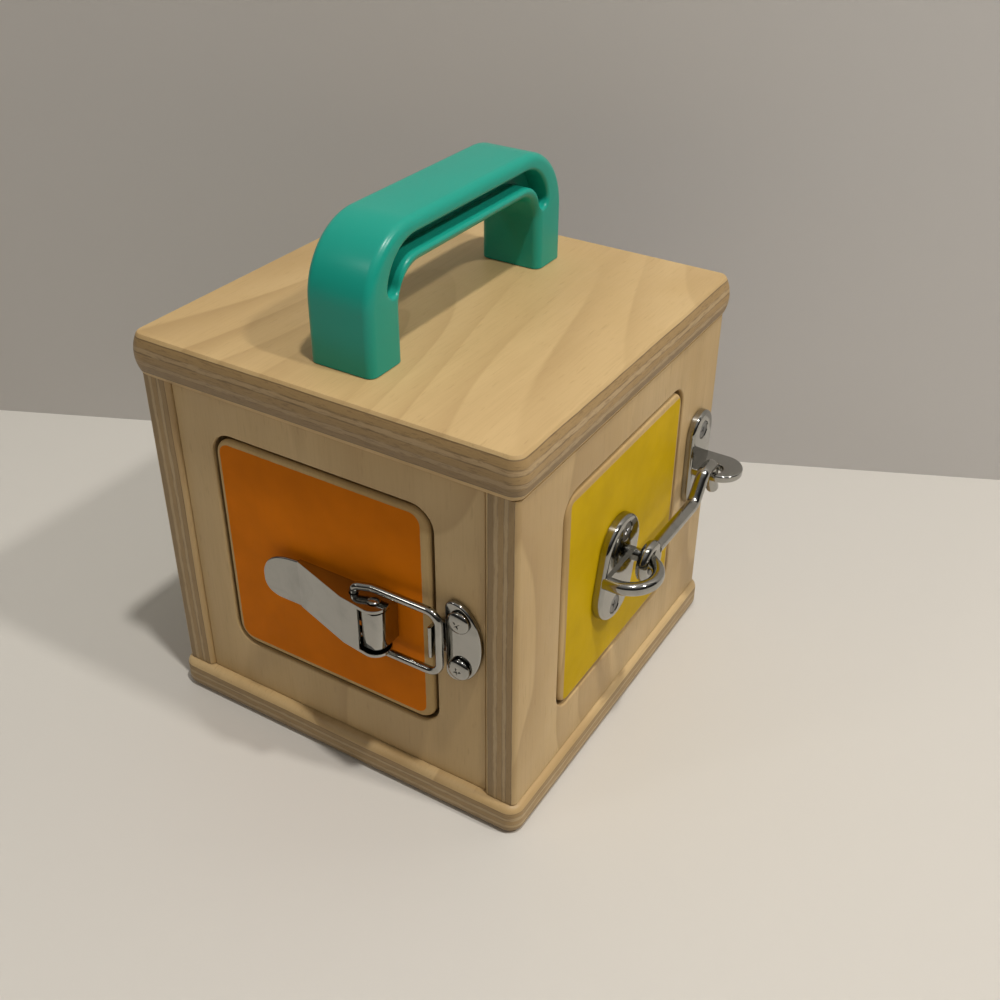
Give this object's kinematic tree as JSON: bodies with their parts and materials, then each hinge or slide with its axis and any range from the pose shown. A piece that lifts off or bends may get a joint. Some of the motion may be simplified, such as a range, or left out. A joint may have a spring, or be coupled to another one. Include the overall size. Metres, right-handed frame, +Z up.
{
  "type": "wooden latch box",
  "caption": "Plywood cube with an inset hinged door on every side, each closed by a different latch, and a moulded carry handle on top.",
  "frame": {"origin": "centre of the underside of the base panel", "axes": "+Z up; the door with the draw latch faces -Y and the door with the hook latch faces +X; the handle runs along Y"},
  "size_m": [0.1851, 0.1712, 0.1943],
  "materials": {
    "plywood": "clear satin varnish",
    "trim_wood": "clear satin varnish",
    "paint_orange": "satin paint",
    "paint_yellow": "satin paint",
    "paint_blue": "satin paint",
    "paint_green": "satin paint",
    "handle_plastic": "glossy moulded",
    "chrome": "polished",
    "steel": "plain"
  },
  "bodies": {
    "box": {"base_panel": "plywood", "top_panel": "plywood", "wall_front": "plywood", "wall_right": "plywood", "wall_back": "plywood", "wall_left": "plywood", "divider_rising": "plywood", "divider_falling": "plywood", "door_front_pin_upper": "steel", "door_front_pin_lower": "steel", "door_right_pin_upper": "steel", "door_right_pin_lower": "steel", "door_back_pin_upper": "steel", "door_back_pin_lower": "steel", "door_left_pin_upper": "steel", "door_left_pin_lower": "steel", "handle": "handle_plastic", "handle_screw_front": "steel", "handle_screw_back": "steel", "draw_keeper": "chrome", "draw_keeper_screw_upper": "chrome", "draw_keeper_screw_lower": "chrome", "hook_keeper": "chrome", "hook_keeper_screw_upper": "chrome", "hook_keeper_screw_lower": "chrome", "bolt_keeper": "steel", "bolt_keeper_screw_upper": "chrome", "bolt_keeper_screw_lower": "chrome", "turn_button_screw": "chrome"},
    "front_door": {"door_front": "paint_orange", "draw_base": "chrome", "draw_base_screw_left": "chrome", "draw_base_screw_right": "chrome", "draw_rivet": "chrome"},
    "lever": {"draw_lever": "chrome"},
    "bail": {"draw_bail": "chrome"},
    "right_door": {"door_right": "paint_yellow", "hook_base": "chrome", "hook_base_screw_upper": "chrome", "hook_base_screw_lower": "chrome"},
    "hook_arm": {"hook": "chrome"},
    "back_door": {"door_back": "paint_blue", "back_knob": "trim_wood"},
    "button": {"turn_button": "trim_wood"},
    "left_door": {"door_left": "paint_green", "bolt_guide": "steel", "bolt_guide_screw_upper": "chrome", "bolt_guide_screw_lower": "chrome"},
    "bolt_rod": {"bolt": "chrome", "bolt_knob": "chrome"}
  },
  "joints": [
    {"name": "front_door_swing", "type": "hinge", "parent": "box", "child": "front_door", "pos_m": [-0.03675, -0.068, 0.076], "axis": [0, 0, -1], "range_deg": [0, 105]},
    {"name": "right_door_swing", "type": "hinge", "parent": "box", "child": "right_door", "pos_m": [0.069, -0.03675, 0.076], "axis": [0, 0, -1], "range_deg": [0, 105]},
    {"name": "back_door_swing", "type": "hinge", "parent": "box", "child": "back_door", "pos_m": [0.03675, 0.068, 0.076], "axis": [0, 0, -1], "range_deg": [0, 105]},
    {"name": "left_door_swing", "type": "hinge", "parent": "box", "child": "left_door", "pos_m": [-0.069, 0.03675, 0.076], "axis": [0, 0, -1], "range_deg": [0, 105]},
    {"name": "lever_turn", "type": "hinge", "parent": "front_door", "child": "lever", "pos_m": [0.0236, -0.0792, 0.0735], "axis": [0, 0, 1], "range_deg": [0, 150]},
    {"name": "bail_follow", "type": "hinge", "parent": "lever", "child": "bail", "pos_m": [0.0153, -0.0786, 0.0735], "axis": [0, 0, 1], "range_deg": [-150, 0]},
    {"name": "hook_lift", "type": "hinge", "parent": "right_door", "child": "hook_arm", "pos_m": [0.08284, -0.00061, 0.0724], "axis": [1, 0, 0], "range_deg": [0, 105]},
    {"name": "bolt_slide", "type": "slide", "parent": "left_door", "child": "bolt_rod", "axis": [0, -1, 0], "range_m": [0, 0.014]},
    {"name": "button_turn", "type": "hinge", "parent": "box", "child": "button", "pos_m": [-0.0513, 0.0723, 0.076], "axis": [0, 1, 0], "range_deg": [0, 90]}
  ],
  "couplings": [
    {"joint": "bail_follow", "follows": "lever_turn", "ratio": -1}
  ]
}
